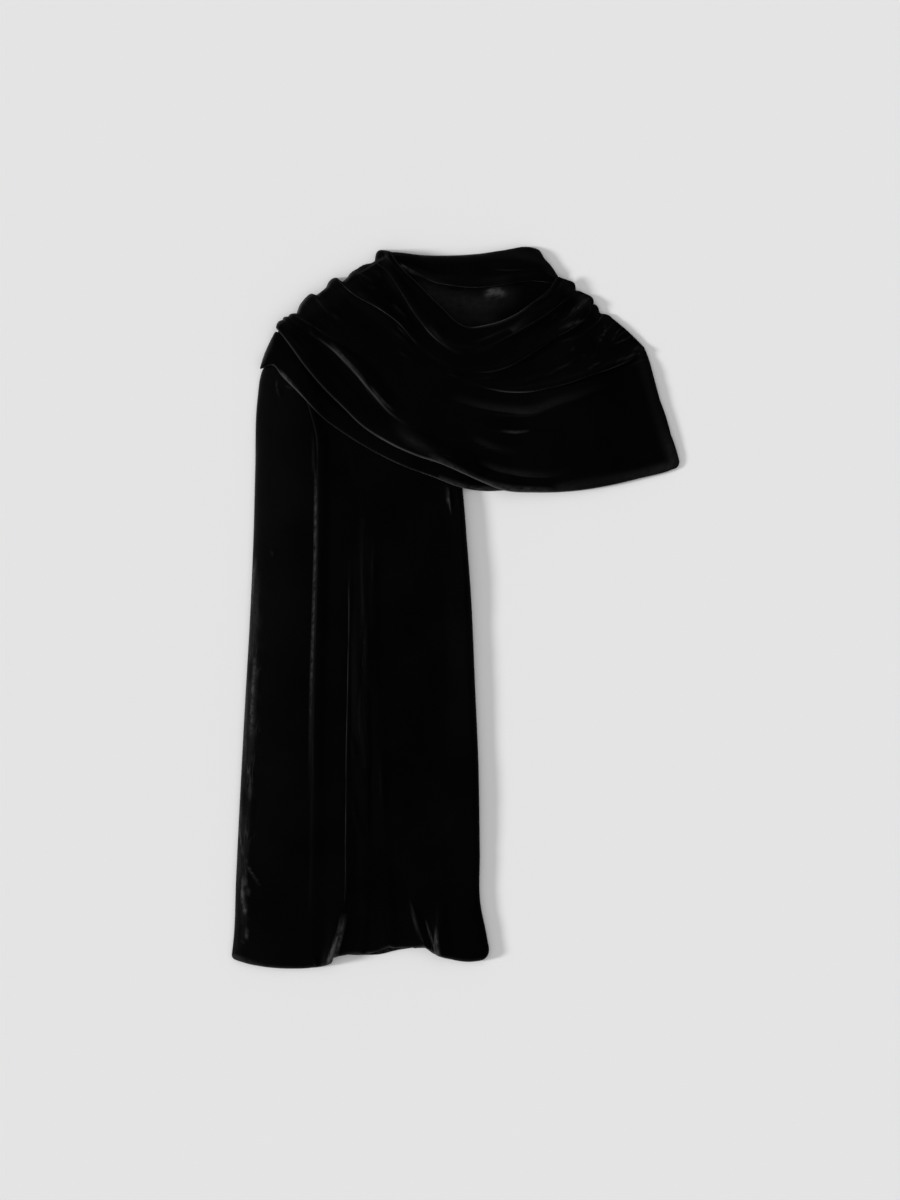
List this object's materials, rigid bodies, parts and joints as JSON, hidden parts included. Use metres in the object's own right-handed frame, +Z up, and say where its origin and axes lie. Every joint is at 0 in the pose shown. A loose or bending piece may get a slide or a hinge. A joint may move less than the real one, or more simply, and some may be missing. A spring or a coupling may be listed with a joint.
{
  "type": "velvet scarf",
  "caption": "Long black velvet scarf laid flat, one end hanging straight, the rest round the neck and across the front in a deep gathered drape.",
  "frame": {"origin": "on the surface that the scarf lies on, under the middle of its box", "axes": "+Z up from the surface, +Y from the hem toward the neck, +X to the right as seen from above"},
  "size_m": [0.581, 0.9348, 0.035],
  "materials": {
    "velvet": "short dense pile, black, with a pale sheen where it is seen edge on"
  },
  "bodies": {
    "root": {"tail_back": "velvet", "tail_face": "velvet", "folded_layers": "velvet", "under_fold": "velvet", "neck_band": "velvet", "chest_swag": "velvet"}
  },
  "joints": []
}
